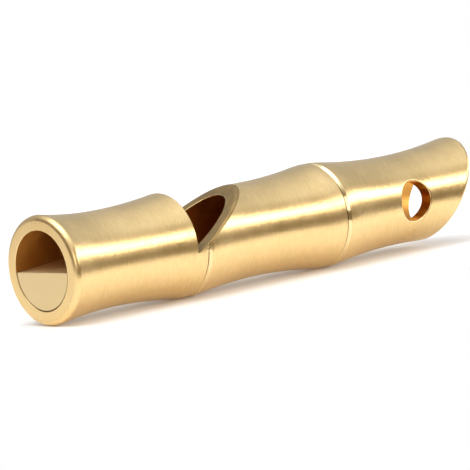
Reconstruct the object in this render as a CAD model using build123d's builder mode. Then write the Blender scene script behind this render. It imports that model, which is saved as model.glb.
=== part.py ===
"""Brass signal whistle turned to look like a stalk of bamboo.

Two pieces: a tube bored from both ends, with two ring grooves and solid metal left between its
bores, and a fipple block pressed into the mouth end of the wider bore.

Units are millimetres. +X runs from the mouth to the tail, +Z is the side with the window, and
the origin is at the bottom centre of the whole whistle, so the bore's axis lies at AXIS_Z.
Outlines are drawn on a plane whose own x is the distance from the mouth face and whose own y is
the height above the bore's axis.
"""

import os
from math import radians, tan

from build123d import *

# Tube
LENGTH = 60.0
RIM_R = 5.75
MOUTH_EDGE_R = 0.6

# Bores: the sound chamber from the mouth, and a narrower one for the lanyard from the tail
BORE_R = 4.2
CHAMBER_END_X = 36.7
TAIL_BORE_R = 3.5
TAIL_BORE_END_X = 45.0

# Bamboo outline: nodes are the high points and waists the low ones
NODE_1_X = 18.05
NODE_2_X = 38.2
WAISTS = ((8.2, 5.10), (28.4, 5.09), (49.3, 4.97))
WAIST_SHARE = 5 / 6
TAIL_FLARE = (61.5, 6.10)

# Ring grooves
GROOVE_WIDTH = 0.65
GROOVE_DEPTH = 0.3
GROOVE_PROUD = 0.01

# Window: an upright front wall, then a flat ramp that rises towards the tail
WINDOW_X = 16.5
WINDOW_FLOOR_Z = -0.7
RAMP_ANGLE = 30.5

# Oblique tail
TAIL_AXIS_X = 56.75
TAIL_RUN_PER_RISE = 0.636
TAIL_EDGE_R = 0.5

# Lanyard hole
LANYARD_X = 49.2
LANYARD_R = 2.22
LANYARD_EDGE_R = 0.15

# Fipple block, seated in the bore
SEAT_GAP = 0.01
BLOCK_FLAT_Z = -0.2
BLOCK_FLAT_RISE = 0.09
BLOCK_RECESS = 0.05
BLOCK_CHAMFER = 0.1

# The whistle's place in its own frame
MOUTH_X = -LENGTH / 2
AXIS_Z = RIM_R
BORE_AXIS = Axis((MOUTH_X, 0, AXIS_Z), (1, 0, 0))
SIDE = Plane(origin=(MOUTH_X, 0, AXIS_Z), x_dir=(1, 0, 0), z_dir=(0, -1, 0))
CLEAR = 2.0


def across(x):
    """The plane square to the bore at a distance x from the mouth face."""
    return Plane(origin=(MOUTH_X + x, 0, AXIS_Z), x_dir=(0, 1, 0), z_dir=(1, 0, 0))


def swell(waist, node):
    """Waist to node as two tangent arcs, both level at their ends and meeting on the chord."""
    meet = (
        waist[0] + WAIST_SHARE * (node[0] - waist[0]),
        waist[1] + WAIST_SHARE * (node[1] - waist[1]),
    )
    away = (1 if node[0] > waist[0] else -1, 0)
    back = (-away[0], 0)
    TangentArc(waist, meet, tangent=away)
    TangentArc(node, meet, tangent=back)


def groove(x):
    """Cuts a V-shaped ring groove centred at x."""
    with BuildSketch(SIDE) as vee:
        with BuildLine():
            Polyline(
                (x - GROOVE_WIDTH / 2, RIM_R + GROOVE_PROUD),
                (x, RIM_R - GROOVE_DEPTH),
                (x + GROOVE_WIDTH / 2, RIM_R + GROOVE_PROUD),
                close=True,
            )
        make_face()
    revolve(vee.sketch, axis=BORE_AXIS, mode=Mode.SUBTRACT)


def on_hole_rim(edge):
    """True for the two outer rims of the lanyard hole."""
    middle = edge.center()
    near_hole = abs(middle.X - MOUTH_X - LANYARD_X) < LANYARD_R
    return near_hole and abs(middle.Y) > BORE_R


# Tube: revolved outline, then grooves, oblique end, window and lanyard hole
with BuildPart() as whistle_tube:
    with BuildSketch(SIDE) as wall:
        with BuildLine():
            Line((0, BORE_R), (0, RIM_R - MOUTH_EDGE_R))
            TangentArc((0, RIM_R - MOUTH_EDGE_R), (MOUTH_EDGE_R, RIM_R), tangent=(0, 1))
            TangentArc(WAISTS[0], (MOUTH_EDGE_R, RIM_R), tangent=(-1, 0))
            swell(WAISTS[0], (NODE_1_X, RIM_R))
            swell(WAISTS[1], (NODE_1_X, RIM_R))
            swell(WAISTS[1], (NODE_2_X, RIM_R))
            swell(WAISTS[2], (NODE_2_X, RIM_R))
            TangentArc(WAISTS[2], TAIL_FLARE, tangent=(1, 0))
            Polyline(
                TAIL_FLARE,
                (TAIL_FLARE[0], TAIL_BORE_R),
                (TAIL_BORE_END_X, TAIL_BORE_R),
                (TAIL_BORE_END_X, 0),
                (CHAMBER_END_X, 0),
                (CHAMBER_END_X, BORE_R),
                (0, BORE_R),
            )
        make_face()
    revolve(axis=BORE_AXIS)

    groove(NODE_1_X)
    groove(NODE_2_X)

    tail_cut = Plane(
        origin=(MOUTH_X + TAIL_AXIS_X, 0, AXIS_Z),
        x_dir=(0, 1, 0),
        z_dir=(-1, 0, TAIL_RUN_PER_RISE),
    )
    split(bisect_by=tail_cut, keep=Keep.TOP)
    tail_face = faces().sort_by(Axis.X)[-1]
    fillet(tail_face.outer_wire().edges(), TAIL_EDGE_R)

    ramp_top = RIM_R + CLEAR
    ramp_end = WINDOW_X + (ramp_top - WINDOW_FLOOR_Z) / tan(radians(RAMP_ANGLE))
    with BuildSketch(SIDE) as window:
        with BuildLine():
            Polyline(
                (WINDOW_X, WINDOW_FLOOR_Z),
                (WINDOW_X, ramp_top),
                (ramp_end, ramp_top),
                close=True,
            )
        make_face()
    extrude(amount=RIM_R + CLEAR, both=True, mode=Mode.SUBTRACT)

    with BuildSketch(SIDE) as lanyard_hole:
        with Locations((LANYARD_X, 0)):
            Circle(LANYARD_R)
    extrude(amount=RIM_R + CLEAR, both=True, mode=Mode.SUBTRACT)
    hole_rims = edges().filter_by(on_hole_rim)
    fillet(hole_rims, LANYARD_EDGE_R)

whistle_tube.part.label = "whistle_tube"


# Fipple block: the lower part of a round plug, under a flat that rises towards the window
with BuildPart() as fipple_block:
    with BuildSketch(across(BLOCK_RECESS)):
        Circle(BORE_R - SEAT_GAP)
    extrude(amount=WINDOW_X - BLOCK_RECESS)
    windway_floor = Plane(
        origin=(MOUTH_X, 0, AXIS_Z + BLOCK_FLAT_Z),
        x_dir=(0, 1, 0),
        z_dir=(-BLOCK_FLAT_RISE, 0, 1),
    )
    split(bisect_by=windway_floor, keep=Keep.BOTTOM)
    front_face = faces().sort_by(Axis.X)[0]
    chamfer(front_face.edges(), BLOCK_CHAMFER)

fipple_block.part.label = "fipple_block"


os.makedirs("parts", exist_ok=True)
export_step(whistle_tube.part, "parts/whistle_tube.step")
export_step(fipple_block.part, "parts/fipple_block.step")
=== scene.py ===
"""Brass bamboo-shaped signal whistle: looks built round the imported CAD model.

The tube is rebuilt here as a fine mesh with the CAD part's own dimensions, exact surface normals
and worn edges, and stands for the CAD node. The fipple block keeps its CAD shape.
The tube's sizes are in millimetres; every Blender object is in metres.
"""

import math

import bpy
import numpy as np
from mathutils import Matrix, Vector


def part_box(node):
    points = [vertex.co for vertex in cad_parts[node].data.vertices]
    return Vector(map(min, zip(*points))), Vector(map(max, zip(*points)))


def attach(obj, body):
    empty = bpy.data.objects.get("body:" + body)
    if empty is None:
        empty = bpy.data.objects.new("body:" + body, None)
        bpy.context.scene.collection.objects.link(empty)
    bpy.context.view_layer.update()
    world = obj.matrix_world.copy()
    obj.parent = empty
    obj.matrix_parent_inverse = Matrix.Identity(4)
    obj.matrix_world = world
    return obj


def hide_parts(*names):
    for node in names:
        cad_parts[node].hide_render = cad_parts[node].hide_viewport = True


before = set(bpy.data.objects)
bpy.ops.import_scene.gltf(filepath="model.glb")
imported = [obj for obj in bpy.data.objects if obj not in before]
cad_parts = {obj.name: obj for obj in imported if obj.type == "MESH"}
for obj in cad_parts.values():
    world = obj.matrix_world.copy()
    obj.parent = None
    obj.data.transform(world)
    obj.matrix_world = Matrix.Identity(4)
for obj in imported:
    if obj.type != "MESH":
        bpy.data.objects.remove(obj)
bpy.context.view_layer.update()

MM = 0.001

# Tube, as the CAD part has it: distances from the mouth face, radii from the bore's axis
RIM_R = 5.75
MOUTH_EDGE_R = 0.6
BORE_R = 4.2
CHAMBER_END_X = 36.7
TAIL_BORE_R = 3.5
TAIL_BORE_END_X = 45.0
NODES = (18.05, 38.2)
WAISTS = ((8.2, 5.10), (28.4, 5.09), (49.3, 4.97))
WAIST_SHARE = 5 / 6
TAIL_FLARE = (61.5, 6.10)
GROOVE_WIDTH = 0.65
GROOVE_DEPTH = 0.3
GROOVE_PROUD = 0.01
WINDOW_X = 16.5
WINDOW_FLOOR_Z = -0.7
RAMP_SLOPE = math.tan(math.radians(30.5))
TAIL_AXIS_X = 56.75
TAIL_RUN_PER_RISE = 0.636
TAIL_EDGE_R = 0.5
LANYARD_X = 49.2
LANYARD_R = 2.22
LANYARD_EDGE_R = 0.15

# Worn edges: a small radius on every machined edge and a wider one on the ramp's outer edge, both
# growing over some columns from the window's corners, and an uneven one on the ramp's inner edge
WORN_EDGE = 0.07
RAMP_EDGE = 0.38
INNER_EDGE = 0.13
INNER_EDGE_UNEVEN = 0.35
INNER_EDGE_WAVES = (23, 9)
FADE_COLUMNS = 4
RAMP_EDGE_START = 2
RAMP_EDGE_COLUMNS = 14

# Fineness of the rebuilt mesh: columns round it, steps along it and rows of its curved edges
HALF_COLUMNS = 120
OUTER_STEP = 0.5
BORE_STEP = 1.0
GROOVE_STEP = 0.05
SQUEEZED_STEP = 0.4
PATCH_STEP = 0.2
MOUTH_EDGE_ROWS = 9
TAIL_ROWS = 15
TAIL_BORE_ROWS = 8
EDGE_STEPS = 5
END_WALL_RINGS = (0.75, 0.5, 0.25, 0.08)
HALVINGS = 50

# Rows are even again from MERGE_X on; the patch is the block of quads round the lanyard hole
MERGE_X = 31.0
PATCH_X = (46.4, 52.0)
PATCH_ANGLE = (45.0, 135.0)
PATCH_LOOPS = 7

# How far beside a point its side is probed, and how near two points count as one
PROBE = 1e-4
SAME_POINT = 1e-6

# Numbers of the tube's materials
TURNED, POLISHED, MILLED, BORE, FACED, HOLE = range(6)

tube_low, tube_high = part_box("whistle_tube")
MOUTH_X = tube_low.x
AXIS_Z = tube_low.z + RIM_R * MM


# ---------------------------------------------------------------- outline of the tube


def arc(start, end, level_at, convex):
    """(start, end, centre s, centre r, radius, sign) of an arc that is level at one point."""
    (s0, r0), (s1, r1) = level_at
    drop = abs(r1 - r0)
    radius = ((s1 - s0) ** 2 + drop**2) / (2 * drop)
    sign = 1 if convex else -1
    return (start, end, s0, r0 - sign * radius, radius, sign)


def swell(waist, node):
    """The two tangent arcs between a waist and a node, in order of distance."""
    meet = tuple(w + WAIST_SHARE * (n - w) for w, n in zip(waist, node))
    low = arc(*sorted((waist[0], meet[0])), (waist, meet), False)
    high = arc(*sorted((node[0], meet[0])), (node, meet), True)
    return sorted((low, high))


def outline():
    """Every arc of the tube's outer outline, from the mouth to beyond the tail."""
    node_1, node_2 = ((x, RIM_R) for x in NODES)
    rim = (MOUTH_EDGE_R, RIM_R)
    arcs = [(0.0, MOUTH_EDGE_R, MOUTH_EDGE_R, RIM_R - MOUTH_EDGE_R, MOUTH_EDGE_R, 1)]
    arcs.append(arc(MOUTH_EDGE_R, WAISTS[0][0], (WAISTS[0], rim), False))
    for waist, node in ((0, node_1), (1, node_1), (1, node_2), (2, node_2)):
        arcs += swell(WAISTS[waist], node)
    arcs.append(arc(WAISTS[2][0], TAIL_FLARE[0], (WAISTS[2], TAIL_FLARE), False))
    return arcs


OUTLINE = outline()


def groove_flank(s):
    """Radius of the ring groove's flanks at s, and which way each flank slopes."""
    reach = np.stack([s - x for x in NODES])
    nearest = reach[np.abs(reach).argmin(0), np.arange(s.size)]
    slope = (GROOVE_DEPTH + GROOVE_PROUD) / (GROOVE_WIDTH / 2)
    return RIM_R - GROOVE_DEPTH + slope * np.abs(nearest), slope * np.sign(nearest)


def outer(s, neighbour=None):
    """Radius at s, and the two parts of the outline's normal there, on the neighbour's side."""
    s = np.asarray(s, float)
    probe = s if neighbour is None else s + np.sign(neighbour - s) * PROBE
    r = np.full(s.shape, np.nan)
    along = np.zeros(s.shape)
    out = np.ones(s.shape)
    for start, end, cs, cr, radius, sign in OUTLINE:
        here = (probe >= start) & (probe <= end)
        height = np.sqrt(np.maximum(radius**2 - (s - cs) ** 2, 0.0))
        r = np.where(here, cr + sign * height, r)
        along = np.where(here, sign * (s - cs) / radius, along)
        out = np.where(here, height / radius, out)
    at_s, _ = groove_flank(s)
    at_probe, slope = groove_flank(probe)
    smooth = outer_plain(probe)
    cut = at_probe < smooth
    size = np.hypot(1.0, slope)
    return (
        np.minimum(r, at_s),
        np.where(cut, -slope / size, along),
        np.where(cut, 1 / size, out),
    )


def outer_plain(s):
    """Radius at s without the ring grooves."""
    r = np.full(s.shape, RIM_R)
    for start, end, cs, cr, radius, sign in OUTLINE:
        here = (s >= start) & (s <= end)
        height = np.sqrt(np.maximum(radius**2 - (s - cs) ** 2, 0.0))
        r = np.where(here, cr + sign * height, r)
    return r


# ---------------------------------------------------------------- mesh with its own normals


class Skin:
    """A mesh in the making: points, faces, and each face's corner normals and material."""

    def __init__(self):
        self.points = []
        self.quads = []
        self.normals = []
        self.materials = []

    def row(self, points):
        """Adds a row of points and returns their numbers."""
        first = len(self.points)
        self.points += [tuple(p) for p in points]
        return np.arange(first, len(self.points))

    def quad(self, corners, normals, material):
        """A quad, or a triangle where two neighbouring corners are the same vertex."""
        kept = [i for i in range(4) if corners[i] != corners[i - 1]]
        if len(kept) < 3:
            return
        corners = [corners[i] for i in kept]
        normals = [normals[i] for i in kept]
        a, b, c = (np.array(self.points[i]) for i in corners[:3])
        d = np.array(self.points[corners[3]]) if len(kept) == 4 else a
        facing = np.cross(c - a, d - b)
        if facing @ np.sum(normals, axis=0) < 0:
            corners, normals = corners[::-1], normals[::-1]
        self.quads.append([int(i) for i in corners])
        self.normals.append([n / np.linalg.norm(n) for n in normals])
        self.materials.append(material)

    def strip(self, a, b, normals_a, normals_b, material, keep=None):
        """Quads between two closed rows; keep says which of them to make."""
        for j in range(len(a)):
            k = (j + 1) % len(a)
            if keep is not None and not keep[j]:
                continue
            here = material[j] if hasattr(material, "__len__") else material
            self.quad(
                (a[j], a[k], b[k], b[j]),
                (normals_a[j], normals_a[k], normals_b[k], normals_b[j]),
                here,
            )

    def rounded(self, a, corner, b, normals_a, normals_b, material, keep=None):
        """A rounded edge: rows on a round arc from row a to row b inside the corner points."""
        start = np.array([self.points[i] for i in a])
        end = np.array([self.points[i] for i in b])
        from_a = normals_a / np.linalg.norm(normals_a, axis=1, keepdims=True)
        from_b = normals_b / np.linalg.norm(normals_b, axis=1, keepdims=True)
        weight = np.sqrt((1 + np.sum(from_a * from_b, axis=1, keepdims=True)) / 2)
        no_start = np.linalg.norm(corner - start, axis=1) < SAME_POINT
        no_end = np.linalg.norm(corner - end, axis=1) < SAME_POINT
        last, last_normals = a, normals_a
        for step in range(1, EDGE_STEPS + 1):
            t = step / EDGE_STEPS
            share_a, share_b, share_corner = (1 - t) ** 2, t**2, 2 * t * (1 - t)
            turned = share_a * from_a + share_b * from_b
            turned = turned + share_corner * (from_a + from_b) / (2 * weight)
            if step == EDGE_STEPS:
                row = b
            else:
                bend = share_a * start + share_corner * weight * corner + share_b * end
                row = self.row(bend / (share_a + share_corner * weight + share_b))
                row = np.where(no_start, a, np.where(no_end, b, row))
            self.strip(last, row, last_normals, turned, material, keep)
            last, last_normals = row, turned

    def end_wall(self, row, s, r, angle, way):
        """Closes a blind bore with a flat disc that faces along the axis."""
        facing = np.tile([way, 0.0, 0.0], (len(row), 1))
        for share in END_WALL_RINGS:
            inner = self.row(around(s, share * r, angle))
            self.strip(row, inner, facing, facing, BORE)
            row = inner
        corners = [int(i) for i in (row if way > 0 else row[::-1])]
        self.quads.append(corners)
        self.normals.append(list(facing))
        self.materials.append(BORE)

    def build(self, name, materials):
        """The mesh as an object, with only the points that its faces use."""
        used = sorted({i for quad in self.quads for i in quad})
        number = {old: new for new, old in enumerate(used)}
        points = [place(self.points[i]) for i in used]
        mesh = bpy.data.meshes.new(name)
        mesh.from_pydata(points, [], [[number[i] for i in quad] for quad in self.quads])
        for material in materials:
            mesh.materials.append(material)
        mesh.polygons.foreach_set("material_index", self.materials)
        mesh.polygons.foreach_set("use_smooth", [True] * len(self.quads))
        mesh.normals_split_custom_set([tuple(n) for quad in self.normals for n in quad])
        mesh.update()
        obj = bpy.data.objects.new(name, mesh)
        bpy.context.scene.collection.objects.link(obj)
        return obj


def place(point):
    """A point of the tube (distance, y, height over the axis), in mm, as a place in metres."""
    s, y, z = point
    return (MOUTH_X + s * MM, y * MM, AXIS_Z + z * MM)


def around(s, r, angle):
    """Points at distance s and radius r, at angles counted from the top towards -Y."""
    s, r, angle = np.broadcast_arrays(s, r, angle)
    return np.stack([s, -r * np.sin(angle), r * np.cos(angle)], -1)


def leaning(along, out, angle):
    """Normals with a part along the axis and a part straight out from it."""
    along, out, angle = np.broadcast_arrays(along, out, angle)
    return np.stack([along, -out * np.sin(angle), out * np.cos(angle)], -1)


def toward(points, targets, distance):
    """Points moved by a distance towards their targets."""
    way = targets - points
    size = np.linalg.norm(way, axis=1, keepdims=True)
    return points + way / size * np.reshape(distance, (-1, 1))


def columns(corner_angle, corner_column):
    """Angles of all columns, with one column exactly at the window's corner on each side."""
    first = np.linspace(0, corner_angle, corner_column + 1)
    rest = np.linspace(corner_angle, math.pi, HALF_COLUMNS - corner_column + 1)
    half = np.concatenate([first, rest[1:]])
    return np.concatenate([half, -half[-2:0:-1]])


def solve(gap, low, high):
    """Where a rising function crosses zero, by halving, for every column at once."""
    for _ in range(HALVINGS):
        middle = (low + high) / 2
        below = gap(middle) < 0
        low = np.where(below, middle, low)
        high = np.where(below, high, middle)
    return (low + high) / 2


def spaced(start, end, step):
    """Evenly spaced distances from start to end, both included."""
    return np.linspace(start, end, max(2, int(round((end - start) / step)) + 1))


# ---------------------------------------------------------------- the tube


def surface(skin, rows, angle, inside, masks):
    """Quads between successive rows of the outer surface or of the bore."""
    for (row_a, s_a), (row_b, s_b), keep in zip(rows, rows[1:], masks):
        if inside:
            normals_a = normals_b = leaning(0.0, -1.0, angle)
            material = BORE
        else:
            _, along_a, out_a = outer(s_a, s_b)
            _, along_b, out_b = outer(s_b, s_a)
            normals_a = leaning(along_a, out_a, angle)
            normals_b = leaning(along_b, out_b, angle)
            middle = (s_a + s_b) / 2
            cut = groove_flank(middle)[0] < outer_plain(middle)
            material = np.where(cut, POLISHED, TURNED)
        skin.strip(row_a, row_b, normals_a, normals_b, material, keep=keep)


def hole_patch(skin, rows, angle, inside, side, radius):
    """Fills the block of quads left out round the lanyard hole, down to a circle. Returns it."""
    picked = patch_columns(angle, side)
    block = [row[picked] for row, _ in rows]
    there = [*block[0], *(row[-1] for row in block[1:-1])]
    back = [*block[-1][::-1], *(row[0] for row in block[-2:0:-1])]
    edge = np.array(there + back)
    flat = np.array([skin.points[i] for i in edge])[:, [0, 2]]
    bearing = np.arctan2(flat[:, 1], flat[:, 0] - LANYARD_X)
    ring = np.stack([LANYARD_X + radius * np.cos(bearing), radius * np.sin(bearing)], -1)
    last, last_normals = edge, wall_normals(flat, side, inside)
    for step in range(1, PATCH_LOOPS + 1):
        t = step / PATCH_LOOPS
        where = (1 - t) * flat + t * ring
        row = skin.row(on_wall(where, side, inside))
        normals = wall_normals(where, side, inside)
        skin.strip(last, row, last_normals, normals, BORE if inside else TURNED)
        last, last_normals = row, normals
    return last, last_normals, bearing


def patch_columns(angle, side):
    """Numbers of the columns that the lanyard hole's block of quads spans, on one side."""
    degrees = np.degrees(angle) * side
    return np.flatnonzero((degrees >= PATCH_ANGLE[0]) & (degrees <= PATCH_ANGLE[1]))


def on_wall(flat, side, inside):
    """Points of the outer surface or the tail bore that stand over points of the upright plane."""
    s, z = flat[:, 0], flat[:, 1]
    r = np.full(s.shape, TAIL_BORE_R) if inside else outer(s)[0]
    return np.stack([s, -side * np.sqrt(r**2 - z**2), z], -1)


def wall_normals(flat, side, inside):
    """Normals of the outer surface or the tail bore at those points."""
    s, z = flat[:, 0], flat[:, 1]
    if inside:
        angle = side * np.arccos(np.clip(z / TAIL_BORE_R, -1, 1))
        return leaning(0.0, -1.0, angle)
    r, along, out = outer(s)
    return leaning(along, out, side * np.arccos(np.clip(z / r, -1, 1)))


def lanyard_hole(skin, outer_rows, inner_rows, angle, side):
    """The cross hole through one wall, with a rounded outer rim."""
    rim_r = LANYARD_R + LANYARD_EDGE_R
    rim, rim_normals, bearing = hole_patch(skin, outer_rows, angle, False, side, rim_r)
    foot, _, foot_bearing = hole_patch(skin, inner_rows, angle, True, side, LANYARD_R)
    inward = np.stack([-np.cos(bearing), np.zeros(bearing.size), -np.sin(bearing)], -1)
    ring = np.stack(
        [LANYARD_X + LANYARD_R * np.cos(bearing), LANYARD_R * np.sin(bearing)], -1
    )
    corner = on_wall(ring, side, False)
    sunk = corner + np.array([0.0, side * LANYARD_EDGE_R, 0.0])
    lip = skin.row(sunk)
    skin.rounded(rim, corner, lip, rim_normals, inward, HOLE)
    turned = np.stack(
        [-np.cos(foot_bearing), np.zeros(foot_bearing.size), -np.sin(foot_bearing)], -1
    )
    skin.strip(lip, foot, inward, turned, HOLE)


def groove_stations(x):
    """Distances across a ring groove: fine steps with its edges and its root among them."""
    half = GROOVE_WIDTH / 2
    ahead, behind = spaced(x - half, x, GROOVE_STEP), spaced(x, x + half, GROOVE_STEP)
    return np.concatenate([ahead, behind[1:]])


def squeeze(base, begin, end, starts):
    """Rows whose first distance is each column's own start, even again from end on."""
    rows = []
    for s in base:
        share = (s - begin) / (end - begin)
        moved = starts + share * (end - starts)
        rows.append(np.where(s < end, moved, np.full(starts.shape, s)))
    return rows


def normals_at(s, angle):
    """Normals of the outer surface at distance s."""
    _, along, out = outer(s)
    return leaning(along, out, angle)


def join_window(front, rear, windowed):
    """All rows of one surface in order, with the quads to make between each pair."""
    rows = [*front, *rear]
    masks = []
    for i in range(len(rows) - 1):
        across_window = i in (len(front) - 1, len(front))
        masks.append(~windowed if across_window else np.ones(windowed.size, bool))
    return rows, masks


def patch_row(s):
    """True for an even row that lies within the lanyard hole's block of quads."""
    even = s.max() - s.min() < SAME_POINT
    return even and PATCH_X[0] - SAME_POINT <= s[0] <= PATCH_X[1] + SAME_POINT


def in_patch(s_a, s_b):
    """True where both rows of a strip lie within that block."""
    return patch_row(s_a) and patch_row(s_b)


class Tube:
    """The whole tube as one closed mesh, in rows of points round the bore's axis."""

    def __init__(self):
        self.skin = Skin()
        self.wall_r = float(outer(np.array([WINDOW_X]))[0][0])
        corner_angle = math.acos(WINDOW_FLOOR_Z / self.wall_r)
        corner_column = round(HALF_COLUMNS * corner_angle / math.pi)
        self.angle = columns(corner_angle, corner_column)
        self.inner_angle = columns(math.acos(WINDOW_FLOOR_Z / BORE_R), corner_column)
        self.count = self.angle.size
        number = np.arange(self.count)
        from_top = np.minimum(number, self.count - number)
        self.in_window = from_top <= corner_column
        self.past_corner = from_top < corner_column
        self.windowed = self.in_window & np.roll(self.in_window, -1)
        self.size_edges(np.clip(corner_column - from_top, 0, None))
        self.find_meetings()

        self.into_bore = leaning(0.0, -1.0, self.inner_angle)
        ramp_up = np.array([-RAMP_SLOPE, 0.0, 1.0]) / math.hypot(1.0, RAMP_SLOPE)
        self.ramp_up = np.tile(ramp_up, (self.count, 1))
        slant = np.array([1.0, 0.0, -TAIL_RUN_PER_RISE])
        self.slant = slant / math.hypot(1.0, TAIL_RUN_PER_RISE)
        self.slanted = np.tile(self.slant, (self.count, 1))

    def size_edges(self, from_corner):
        """Widths of the window's worn edges in each column, which fade to none at its corners."""
        fade = np.clip(from_corner / FADE_COLUMNS, 0, 1)
        growth = np.clip((from_corner - RAMP_EDGE_START) / RAMP_EDGE_COLUMNS, 0, 1)
        fast, slow = (waves * self.angle for waves in INNER_EDGE_WAVES)
        self.worn = WORN_EDGE * fade
        self.buffed = (WORN_EDGE + (RAMP_EDGE - WORN_EDGE) * growth) * fade
        uneven = INNER_EDGE_UNEVEN * np.sin(fast + 1) * np.sin(slow)
        self.ragged = INNER_EDGE * (1 + uneven) * fade

    def find_meetings(self):
        """Where the ramp and the oblique end meet the outer surface and the bores."""
        upright = np.cos(self.angle)
        ramp = solve(
            lambda s: WINDOW_FLOOR_Z + (s - WINDOW_X) * RAMP_SLOPE - outer_plain(s) * upright,
            np.full(self.count, WINDOW_X),
            np.full(self.count, MERGE_X),
        )
        self.ramp = np.where(self.in_window, ramp, WINDOW_X)
        rise = BORE_R * np.cos(self.inner_angle) - WINDOW_FLOOR_Z
        self.inner_ramp = np.where(self.in_window, WINDOW_X + rise / RAMP_SLOPE, WINDOW_X)
        self.tail = solve(
            lambda s: s - TAIL_AXIS_X - TAIL_RUN_PER_RISE * outer(s)[0] * upright,
            np.full(self.count, PATCH_X[1]),
            np.full(self.count, TAIL_FLARE[0]),
        )
        self.inner_tail = TAIL_AXIS_X + TAIL_RUN_PER_RISE * TAIL_BORE_R * upright

    def outer_row(self, s):
        """A row on the outer surface at one distance or at one for each column."""
        at = np.full(self.count, s)
        return self.skin.row(around(at, outer(at)[0], self.angle)), at

    def chamber_row(self, s):
        """The same in the sound chamber's bore."""
        at = np.full(self.count, s)
        return self.skin.row(around(at, BORE_R, self.inner_angle)), at

    def tail_bore_row(self, s):
        """The same in the tail bore."""
        at = np.full(self.count, s)
        return self.skin.row(around(at, TAIL_BORE_R, self.angle)), at

    def lay_mouth(self):
        """The rows ahead of the window, and the mouth face."""
        turn = np.radians(np.linspace(0, 90, MOUTH_EDGE_ROWS))
        curve = MOUTH_EDGE_R * (1 - np.cos(turn))
        straight = spaced(MOUTH_EDGE_R, WINDOW_X - WORN_EDGE, OUTER_STEP)[1:]
        self.front_rows = [self.outer_row(s) for s in (*curve, *straight)]
        inner = spaced(WORN_EDGE, WINDOW_X - WORN_EDGE, BORE_STEP)
        self.inner_front = [self.chamber_row(s) for s in inner]

        lip = self.skin.row(around(0.0, BORE_R + WORN_EDGE, self.inner_angle))
        front = np.tile([-1.0, 0.0, 0.0], (self.count, 1))
        self.skin.strip(self.front_rows[0][0], lip, front, front, FACED)
        corner = around(0.0, BORE_R, self.inner_angle)
        bore_start = self.inner_front[0][0]
        self.skin.rounded(lip, corner, bore_start, front, self.into_bore, FACED)

    def lay_window_wall(self):
        """The row at the window's front wall, on the wall for the window's columns."""
        edge = around(WINDOW_X, self.wall_r, self.angle)
        inner_edge = around(WINDOW_X, BORE_R, self.inner_angle)
        self.wall_out = self.skin.row(toward(edge, inner_edge, self.worn))
        self.wall_in = self.skin.row(toward(inner_edge, edge, self.worn))
        back = np.tile([1.0, 0.0, 0.0], (self.count, 1))
        ahead = outer(np.full(self.count, WINDOW_X), np.zeros(self.count))
        out = leaning(*ahead[1:], self.angle)
        self.skin.rounded(
            self.front_rows[-1][0], edge, self.wall_out, out, back, MILLED, keep=self.windowed
        )
        self.skin.strip(self.wall_out, self.wall_in, back, back, MILLED, keep=self.windowed)
        self.skin.rounded(
            self.wall_in, inner_edge, self.inner_front[-1][0], back, self.into_bore, MILLED,
            keep=self.windowed,
        )

    def lay_ramp(self):
        """The ramp's flat."""
        self.ramp_edge = around(self.ramp, outer_plain(self.ramp), self.angle)
        self.inner_ramp_edge = around(self.inner_ramp, BORE_R, self.inner_angle)
        ramp_out = self.skin.row(toward(self.ramp_edge, self.inner_ramp_edge, self.buffed))
        ramp_in = self.skin.row(toward(self.inner_ramp_edge, self.ramp_edge, self.ragged))
        self.ramp_out = np.where(self.past_corner, ramp_out, self.wall_out)
        self.ramp_in = np.where(self.past_corner, ramp_in, self.wall_in)
        up = self.ramp_up
        self.skin.strip(self.ramp_out, self.ramp_in, up, up, MILLED, keep=self.windowed)

    def lay_middle(self):
        """Rows from the window to the lanyard hole, squeezed behind the ramp up to MERGE_X."""
        begin = WINDOW_X + WORN_EDGE
        node_end = NODES[0] + GROOVE_WIDTH
        fine = spaced(begin, node_end, GROOVE_STEP)
        coarse = spaced(node_end, MERGE_X, SQUEEZED_STEP)[1:]
        starts = self.ramp + np.maximum(self.buffed, WORN_EDGE)
        even = (
            *spaced(MERGE_X, NODES[1] - GROOVE_WIDTH / 2, OUTER_STEP)[1:],
            *groove_stations(NODES[1])[1:],
            *spaced(NODES[1] + GROOVE_WIDTH / 2, PATCH_X[0], OUTER_STEP)[1:],
            *spaced(PATCH_X[0], PATCH_X[1], PATCH_STEP)[1:],
        )
        squeezed = squeeze((*fine, *coarse), begin, MERGE_X, starts)
        self.rows = [(self.wall_out, np.full(self.count, WINDOW_X))]
        self.rows += [self.outer_row(s) for s in (*squeezed, *even)]
        first, at = self.rows[1]
        self.skin.rounded(
            self.ramp_out, self.ramp_edge, first, self.ramp_up, normals_at(at, self.angle),
            MILLED, keep=self.windowed,
        )

    def lay_tail(self):
        """The outer surface up to the oblique end, its rounded edge and the oblique face."""
        facing = normals_at(self.tail, self.angle) @ self.slant
        corner_angle = np.pi - np.arccos(np.clip(facing, -1, 1))
        reach = TAIL_EDGE_R / np.tan(corner_angle / 2)
        for share in np.linspace(0, 1, TAIL_ROWS)[1:]:
            self.rows.append(
                self.outer_row(PATCH_X[1] + share * (self.tail - reach - PATCH_X[1]))
            )
        edge = around(self.tail, outer(self.tail)[0], self.angle)
        self.inner_tail_edge = around(self.inner_tail, TAIL_BORE_R, self.angle)
        worn = np.full(self.count, WORN_EDGE)
        tail_out = self.skin.row(toward(edge, self.inner_tail_edge, reach))
        self.tail_in = self.skin.row(toward(self.inner_tail_edge, edge, worn))
        last, at = self.rows[-1]
        out = normals_at(at, self.angle)
        self.skin.rounded(last, edge, tail_out, out, self.slanted, TURNED)
        self.skin.strip(tail_out, self.tail_in, self.slanted, self.slanted, FACED)

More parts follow.
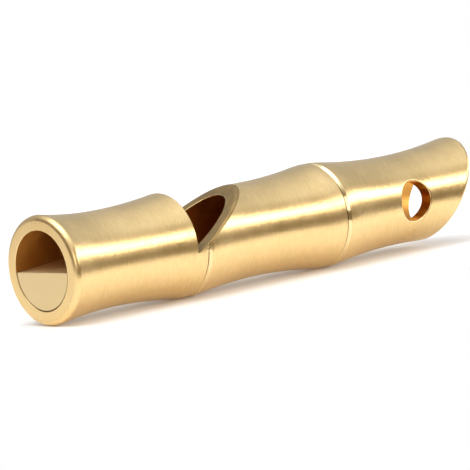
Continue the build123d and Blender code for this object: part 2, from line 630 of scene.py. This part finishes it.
    def lay_chamber(self):
        """The sound chamber behind the window, and its end wall."""
        begin = WINDOW_X + WORN_EDGE
        even = spaced(MERGE_X, CHAMBER_END_X, BORE_STEP)[1:]
        starts = self.inner_ramp + np.maximum(self.ragged, WORN_EDGE)
        stations = squeeze(
            (*spaced(begin, MERGE_X, BORE_STEP), *even), begin, MERGE_X, starts
        )
        self.inner_rows = [(self.wall_in, np.full(self.count, WINDOW_X))]
        self.inner_rows += [self.chamber_row(s) for s in stations]
        self.skin.rounded(
            self.ramp_in, self.inner_ramp_edge, self.inner_rows[1][0], self.ramp_up,
            self.into_bore, FACED, keep=self.windowed,
        )
        last = self.inner_rows[-1][0]
        self.skin.end_wall(last, CHAMBER_END_X, BORE_R, self.inner_angle, -1.0)

    def lay_tail_bore(self):
        """The tail bore and its end wall."""
        level = spaced(TAIL_BORE_END_X, PATCH_X[0], OUTER_STEP)
        beside_hole = spaced(PATCH_X[0], PATCH_X[1], PATCH_STEP)[1:]
        self.tail_rows = [self.tail_bore_row(s) for s in (*level, *beside_hole)]
        for share in np.linspace(0, 1, TAIL_BORE_ROWS)[1:]:
            self.tail_rows.append(
                self.tail_bore_row(PATCH_X[1] + share * (self.inner_tail - WORN_EDGE - PATCH_X[1]))
            )
        into_tail = leaning(0.0, -1.0, self.angle)
        self.skin.rounded(
            self.tail_in, self.inner_tail_edge, self.tail_rows[-1][0], self.slanted, into_tail,
            FACED,
        )
        first = self.tail_rows[0][0]
        self.skin.end_wall(first, TAIL_BORE_END_X, TAIL_BORE_R, self.angle, 1.0)

    def fill_surfaces(self):
        """Quads of the round surfaces, and of the lanyard hole's blocks, which they leave out."""
        outside = join_window(self.front_rows, self.rows, self.windowed)
        chamber = join_window(self.inner_front, self.inner_rows, self.windowed)
        tail_bore = (self.tail_rows, [np.ones(self.count, bool)] * (len(self.tail_rows) - 1))
        holes = np.zeros(self.count, bool)
        for side in (1, -1):
            holes[patch_columns(self.angle, side)[:-1]] = True
        surface(self.skin, chamber[0], self.inner_angle, True, chamber[1])
        for (rows, masks), inside in ((outside, False), (tail_bore, True)):
            masks = [
                keep & ~holes if in_patch(a[1], b[1]) else keep
                for a, b, keep in zip(rows, rows[1:], masks)
            ]
            surface(self.skin, rows, self.angle, inside, masks)
        for side in (1, -1):
            blocks = [[r for r in rows if patch_row(r[1])] for rows, _ in (outside, tail_bore)]
            lanyard_hole(self.skin, *blocks, self.angle, side)

    def build(self, materials):
        """Lays every surface in turn and gives the finished object."""
        self.lay_mouth()
        self.lay_window_wall()
        self.lay_ramp()
        self.lay_middle()
        self.lay_tail()
        self.lay_chamber()
        self.lay_tail_bore()
        self.fill_surfaces()
        return self.skin.build("tube_body", materials)


# ---------------------------------------------------------------- materials

YELLOW = (0.86, 0.62, 0.295, 1.0)
YELLOW_DEEP = (0.82, 0.58, 0.26, 1.0)
PALE = (0.86, 0.67, 0.37, 1.0)
PALE_DEEP = (0.82, 0.62, 0.32, 1.0)
# Milled colours, darker than the turned brass as painted shade on the window's ramp and front wall
MILLED_SHADE_TAN = (0.46, 0.30, 0.115, 1.0)
MILLED_SHADE_DEEP = (0.34, 0.215, 0.075, 1.0)
BORE_TAN = (0.80, 0.42, 0.10, 1.0)
BORE_DEEP = (0.62, 0.29, 0.06, 1.0)
# Painted shade for the ring grooves' roots and the block's edge beside the bore
PAINTED_SHADE_BROWN = (0.10, 0.055, 0.02, 1.0)

# Noise: its scale per metre along X, Y and Z, and the middle part of its range, which is used
BROAD_SCALE = (260.0, 160.0, 160.0)
GRAIN_SCALE = (5200.0, 1900.0, 1900.0)
NOISE_SPAN = (0.3, 0.7)

# Turn of the brushed finish, in whole turns
QUARTER_TURN = 0.25


def shader(name):
    """A new node material, its tree and its Principled shader."""
    material = bpy.data.materials.new(name)
    material.use_nodes = True
    tree = material.node_tree
    return material, tree, tree.nodes["Principled BSDF"]


def shader_node(tree, kind, **values):
    """A node with its input sockets set by name."""
    made = tree.nodes.new(kind)
    for key, value in values.items():
        made.inputs[key.replace("_", " ")].default_value = value
    return made


def noise(tree, vector, scale, detail):
    """Noise of one value over stretched object coordinates."""
    mapping = tree.nodes.new("ShaderNodeMapping")
    mapping.inputs["Scale"].default_value = scale
    made = shader_node(tree, "ShaderNodeTexNoise", Scale=1.0, Detail=detail)
    tree.links.new(vector, mapping.inputs["Vector"])
    tree.links.new(mapping.outputs["Vector"], made.inputs["Vector"])
    return made.outputs["Fac"]


def ramp_of(tree, value, stops):
    """A colour ramp over a value."""
    made = tree.nodes.new("ShaderNodeValToRGB")
    elements = made.color_ramp.elements
    while len(elements) < len(stops):
        elements.new(0.5)
    for element, (position, colour) in zip(elements, stops):
        element.position = position
        element.color = colour
    tree.links.new(value, made.inputs["Fac"])
    return made.outputs["Color"]


def mapped(tree, value, start, end, low=0.0, high=1.0, blend="LINEAR"):
    """Runs from low to high while a value runs from start to end."""
    made = tree.nodes.new("ShaderNodeMapRange")
    made.interpolation_type = blend
    made.inputs["From Min"].default_value = start
    made.inputs["From Max"].default_value = end
    made.inputs["To Min"].default_value = low
    made.inputs["To Max"].default_value = high
    tree.links.new(value, made.inputs["Value"])
    return made.outputs["Result"]


def between(tree, value, low, high):
    """The middle of a noise's range stretched to run from low to high."""
    return mapped(tree, value, *NOISE_SPAN, low, high)


def mixed(tree, share):
    """A node that mixes colours A and B by a share of B."""
    made = tree.nodes.new("ShaderNodeMix")
    made.data_type = "RGBA"
    tree.links.new(share, made.inputs["Factor"])
    return made


def bump(tree, heights, normal_socket):
    """Bumps stacked one on the other; heights is (value, distance in metres) for each."""
    last = None
    for value, distance in heights:
        made = shader_node(tree, "ShaderNodeBump", Strength=1.0, Distance=distance)
        tree.links.new(value, made.inputs["Height"])
        if last is not None:
            tree.links.new(last, made.inputs["Normal"])
        last = made.outputs["Normal"]
    tree.links.new(last, normal_socket)


def paint_crease_shade(tree, where, colour, start, end):
    """Painted shade in a crease: darkens a colour between two distances from the bore's axis."""
    from_axis = tree.nodes.new("ShaderNodeVectorMath")
    from_axis.operation = "MULTIPLY_ADD"
    from_axis.inputs[1].default_value = (0.0, 1.0, 1.0)
    from_axis.inputs[2].default_value = (0.0, 0.0, -AXIS_Z)
    distance = tree.nodes.new("ShaderNodeVectorMath")
    distance.operation = "LENGTH"
    tree.links.new(where, from_axis.inputs[0])
    tree.links.new(from_axis.outputs["Vector"], distance.inputs[0])
    mix = mixed(tree, mapped(tree, distance.outputs["Value"], start * MM, end * MM))
    tree.links.new(colour, mix.inputs["A"])
    # the painted shade's colour
    mix.inputs["B"].default_value = PAINTED_SHADE_BROWN
    return mix.outputs["Result"]


def brass(
    name, colours, roughness, stretch, marks, anisotropy=0.0, grain=0.0, shade_span=None, streaks=0.0
):
    """Brass with tool marks.

    Roughness runs between two values, stretch is the marks' noise scale along the object's own
    axes, marks and grain are depths in metres, seam is where painted crease shade starts and is
    full in mm from the bore's axis, and streaks is how much the marks darken the colour.
    """
    material, tree, principled = shader(name)
    where = tree.nodes.new("ShaderNodeTexCoord").outputs["Object"]
    fine = noise(tree, where, stretch, detail=3.0)
    broad = noise(tree, where, BROAD_SCALE, detail=3.0)
    colour = ramp_of(tree, broad, list(zip(NOISE_SPAN, colours)))
    if streaks:
        shaded = tree.nodes.new("ShaderNodeVectorMath")
        shaded.operation = "SCALE"
        tree.links.new(colour, shaded.inputs["Vector"])
        tree.links.new(between(tree, fine, 1.0 - streaks, 1.0), shaded.inputs["Scale"])
        colour = shaded.outputs["Vector"]
    # painted shade, darker towards a crease
    if shade_span:
        colour = paint_crease_shade(tree, where, colour, *shade_span)
    tree.links.new(colour, principled.inputs["Base Color"])
    tree.links.new(between(tree, broad, *roughness), principled.inputs["Roughness"])
    principled.inputs["Metallic"].default_value = 1.0
    heights = [(fine, marks)]
    if grain:
        heights.append((noise(tree, where, GRAIN_SCALE, detail=1.0), grain))
    bump(tree, heights, principled.inputs["Normal"])
    if anisotropy:
        principled.inputs["Anisotropic"].default_value = anisotropy
        principled.inputs["Anisotropic Rotation"].default_value = QUARTER_TURN
        tangent = tree.nodes.new("ShaderNodeTangent")
        tangent.direction_type = "RADIAL"
        tangent.axis = "X"
        tree.links.new(tangent.outputs["Tangent"], principled.inputs["Tangent"])
    return material


turned_brass = brass(
    "turned_satin_brass", (YELLOW_DEEP, YELLOW), roughness=(0.27, 0.35),
    stretch=(3600.0, 1000.0, 1000.0), marks=1.0e-6, anisotropy=0.45, grain=1.5e-5, streaks=0.10,
)
# Painted shade darkens the ring grooves towards their roots
polished_brass = brass(
    "polished_groove_brass", (YELLOW, PALE), roughness=(0.08, 0.16),
    stretch=(2500.0, 900.0, 900.0), marks=5.0e-7, shade_span=(5.53, 5.46),
)
# Milled brass whose darker colours are painted shade
milled_painted_shade_brass = brass(
    "milled_painted_shade_brass", (MILLED_SHADE_DEEP, MILLED_SHADE_TAN), roughness=(0.34, 0.50),
    stretch=(700.0, 5200.0, 700.0), marks=1.2e-5, streaks=0.4,
)
bore_brass = brass(
    "bored_brass", (BORE_DEEP, BORE_TAN), roughness=(0.38, 0.55),
    stretch=(5000.0, 500.0, 500.0), marks=4.0e-6,
)
faced_brass = brass(
    "faced_brass", (YELLOW_DEEP, YELLOW), roughness=(0.24, 0.32),
    stretch=(900.0, 1400.0, 1400.0), marks=6.0e-7,
)
hole_brass = brass(
    "drilled_hole_brass", (YELLOW, PALE), roughness=(0.12, 0.22),
    stretch=(2500.0, 6000.0, 2500.0), marks=8.0e-7,
)
# Painted shade darkens the block towards its edge beside the bore's wall
block_brass = brass(
    "block_brass", (PALE_DEEP, PALE), roughness=(0.40, 0.55),
    stretch=(2500.0, 2500.0, 6000.0), marks=3.0e-6, shade_span=(4.07, 4.13),
)

# in the order of TURNED, POLISHED, MILLED, BORE, FACED and HOLE
tube = Tube().build(
    [turned_brass, polished_brass, milled_painted_shade_brass, bore_brass, faced_brass, hole_brass]
)
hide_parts("whistle_tube")
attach(tube, "root")

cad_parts["fipple_block"].material_slots[0].material = block_brass


# ---------------------------------------------------------------- floor, light and camera

VIEW_AZIMUTH = math.radians(-41.092)
VIEW_ELEVATION = math.radians(5.774)
VIEW_ROLL = math.radians(-6.58)
VIEW_DISTANCE = 0.37459
VIEW_LENS = 266.9
FILM_WIDTH = 36.0
NEAREST_SEEN = 0.01
AIM_FROM_MIDDLE = Vector((-0.00197, 0.00164, -0.00057))

# Floor: the sheet's low and high corners in millimetres, and its shader's settings
FLOOR_SHEET = (-120.0, -21.0, 120.0, 160.0)
FLOOR_LOOK = {
    "Base Color": (0.93, 0.92, 0.90, 1.0),
    "Roughness": 0.7,
    "Coat Weight": 0.3,
    "Coat Roughness": 0.2,
    "Emission Color": (1.0, 0.93, 0.84, 1.0),
    "Emission Strength": 0.10,
}

# Surround: tints, brightness against the direction's height, and how far the direction points
# away from the camera where the backdrop starts and where it is full
WARM = (1.06, 0.86, 0.58)
COOL = (0.95, 1.0, 1.08)
FRONT_SKY = ((0.08, 0.22), (0.30, 0.26), (0.50, 0.36), (0.60, 0.62), (0.70, 1.30))
BACK_SKY = ((0.0, 0.62), (0.17, 0.60), (0.40, 0.55), (0.60, 0.54), (0.72, 0.62), (0.76, 0.85))
BACKDROP_SPAN = (0.0, 0.5)

SOFTBOX_TINT = (1.0, 0.985, 0.96)


def aim_camera():
    """A long lens that looks at the bore's axis just ahead of the whistle's middle."""
    sin_a, cos_a = math.sin(VIEW_AZIMUTH), math.cos(VIEW_AZIMUTH)
    sin_e, cos_e = math.sin(VIEW_ELEVATION), math.cos(VIEW_ELEVATION)
    back = Vector((sin_a * cos_e, -cos_a * cos_e, sin_e))
    level = Vector((cos_a, sin_a, 0.0))
    upright = back.cross(level)
    right = level * math.cos(VIEW_ROLL) + upright * math.sin(VIEW_ROLL)
    up = upright * math.cos(VIEW_ROLL) - level * math.sin(VIEW_ROLL)
    middle = Vector(((tube_low.x + tube_high.x) / 2, 0.0, AXIS_Z))
    data = bpy.data.cameras.new("camera")
    data.lens = VIEW_LENS
    data.sensor_width = FILM_WIDTH
    data.clip_start = NEAREST_SEEN
    camera = bpy.data.objects.new("camera", data)
    turn = Matrix((right, up, back)).transposed().to_4x4()
    turn.translation = middle + AIM_FROM_MIDDLE + back * VIEW_DISTANCE
    camera.matrix_world = turn
    bpy.context.scene.collection.objects.link(camera)
    bpy.context.scene.camera = camera


def lay_floor():
    """A plain pale sheet that the whistle lies on, with the dim room beyond its front edge."""
    mesh = bpy.data.meshes.new("floor")
    x0, y0, x1, y1 = (value * MM for value in FLOOR_SHEET)
    corners = [(x0, y0), (x1, y0), (x1, y1), (x0, y1)]
    mesh.from_pydata([(x, y, tube_low.z) for x, y in corners], [], [(0, 1, 2, 3)])
    floor = bpy.data.objects.new("floor", mesh)
    bpy.context.scene.collection.objects.link(floor)
    material, _, principled = shader("pale_floor")
    for socket, value in FLOOR_LOOK.items():
        principled.inputs[socket].default_value = value
    mesh.materials.append(material)


def panel(name, azimuth, elevation, distance, width, height, power, colour=(1, 1, 1)):
    """A soft rectangular light, in degrees, metres and watts, that faces the whistle."""
    a, e = math.radians(azimuth), math.radians(elevation)
    way = Vector((math.sin(a) * math.cos(e), -math.cos(a) * math.cos(e), math.sin(e)))
    data = bpy.data.lights.new(name, "AREA")
    data.shape = "RECTANGLE"
    data.size = width
    data.size_y = height
    data.energy = power
    data.color = colour
    light = bpy.data.objects.new(name, data)
    light.location = Vector((0.0, 0.0, AXIS_Z)) + way * distance
    light.rotation_euler = way.to_track_quat("Z", "Y").to_euler()
    bpy.context.scene.collection.objects.link(light)


def sky(tree, height, stops, low_tint, high_tint):
    """Brightness of the surround against the height of the direction, tinted from low to high."""
    colours = []
    for i, (z, value) in enumerate(stops):
        share = i / (len(stops) - 1)
        tint = [(1 - share) * a + share * b for a, b in zip(low_tint, high_tint)]
        colours.append((z, (*(value * t for t in tint), 1.0)))
    return ramp_of(tree, height, colours)


def surround():
    """White to look at, and for the brass a dim room in front and a bright backdrop behind."""
    world = bpy.data.worlds.new("studio")
    bpy.context.scene.world = world
    world.use_nodes = True
    tree = world.node_tree
    background = tree.nodes["Background"]
    where = tree.nodes.new("ShaderNodeTexCoord").outputs["Generated"]
    split = tree.nodes.new("ShaderNodeSeparateXYZ")
    tree.links.new(where, split.inputs["Vector"])
    forward = tree.nodes.new("ShaderNodeVectorMath")
    forward.operation = "DOT_PRODUCT"
    forward.inputs[1].default_value = (-math.sin(VIEW_AZIMUTH), math.cos(VIEW_AZIMUTH), 0.0)
    tree.links.new(where, forward.inputs[0])
    behind = mapped(tree, forward.outputs["Value"], *BACKDROP_SPAN, blend="SMOOTHSTEP")
    front = sky(tree, split.outputs["Z"], FRONT_SKY, WARM, COOL)
    back = sky(tree, split.outputs["Z"], BACK_SKY, COOL, COOL)
    room = mixed(tree, behind)
    tree.links.new(front, room.inputs["A"])
    tree.links.new(back, room.inputs["B"])
    camera_ray = tree.nodes.new("ShaderNodeLightPath").outputs["Is Camera Ray"]
    mix = mixed(tree, camera_ray)
    tree.links.new(room.outputs["Result"], mix.inputs["A"])
    mix.inputs["B"].default_value = (1, 1, 1, 1)
    tree.links.new(mix.outputs["Result"], background.inputs["Color"])


aim_camera()
lay_floor()
surround()
panel(
    "front_softbox", azimuth=44.0, elevation=19.0, distance=0.60, width=0.90, height=0.13,
    power=1.95, colour=SOFTBOX_TINT,
)
panel(
    "top_softbox", azimuth=-90.0, elevation=82.0, distance=0.60, width=0.50, height=0.50,
    power=1.2,
)
panel(
    "groove_softbox", azimuth=-46.0, elevation=14.0, distance=0.60, width=0.30, height=0.24,
    power=0.5,
)
panel(
    "mouth_softbox", azimuth=-90.0, elevation=62.0, distance=0.70, width=0.50, height=0.50,
    power=1.05,
)
bpy.context.scene.view_settings.view_transform = "Standard"
bpy.context.scene.view_settings.look = "None"
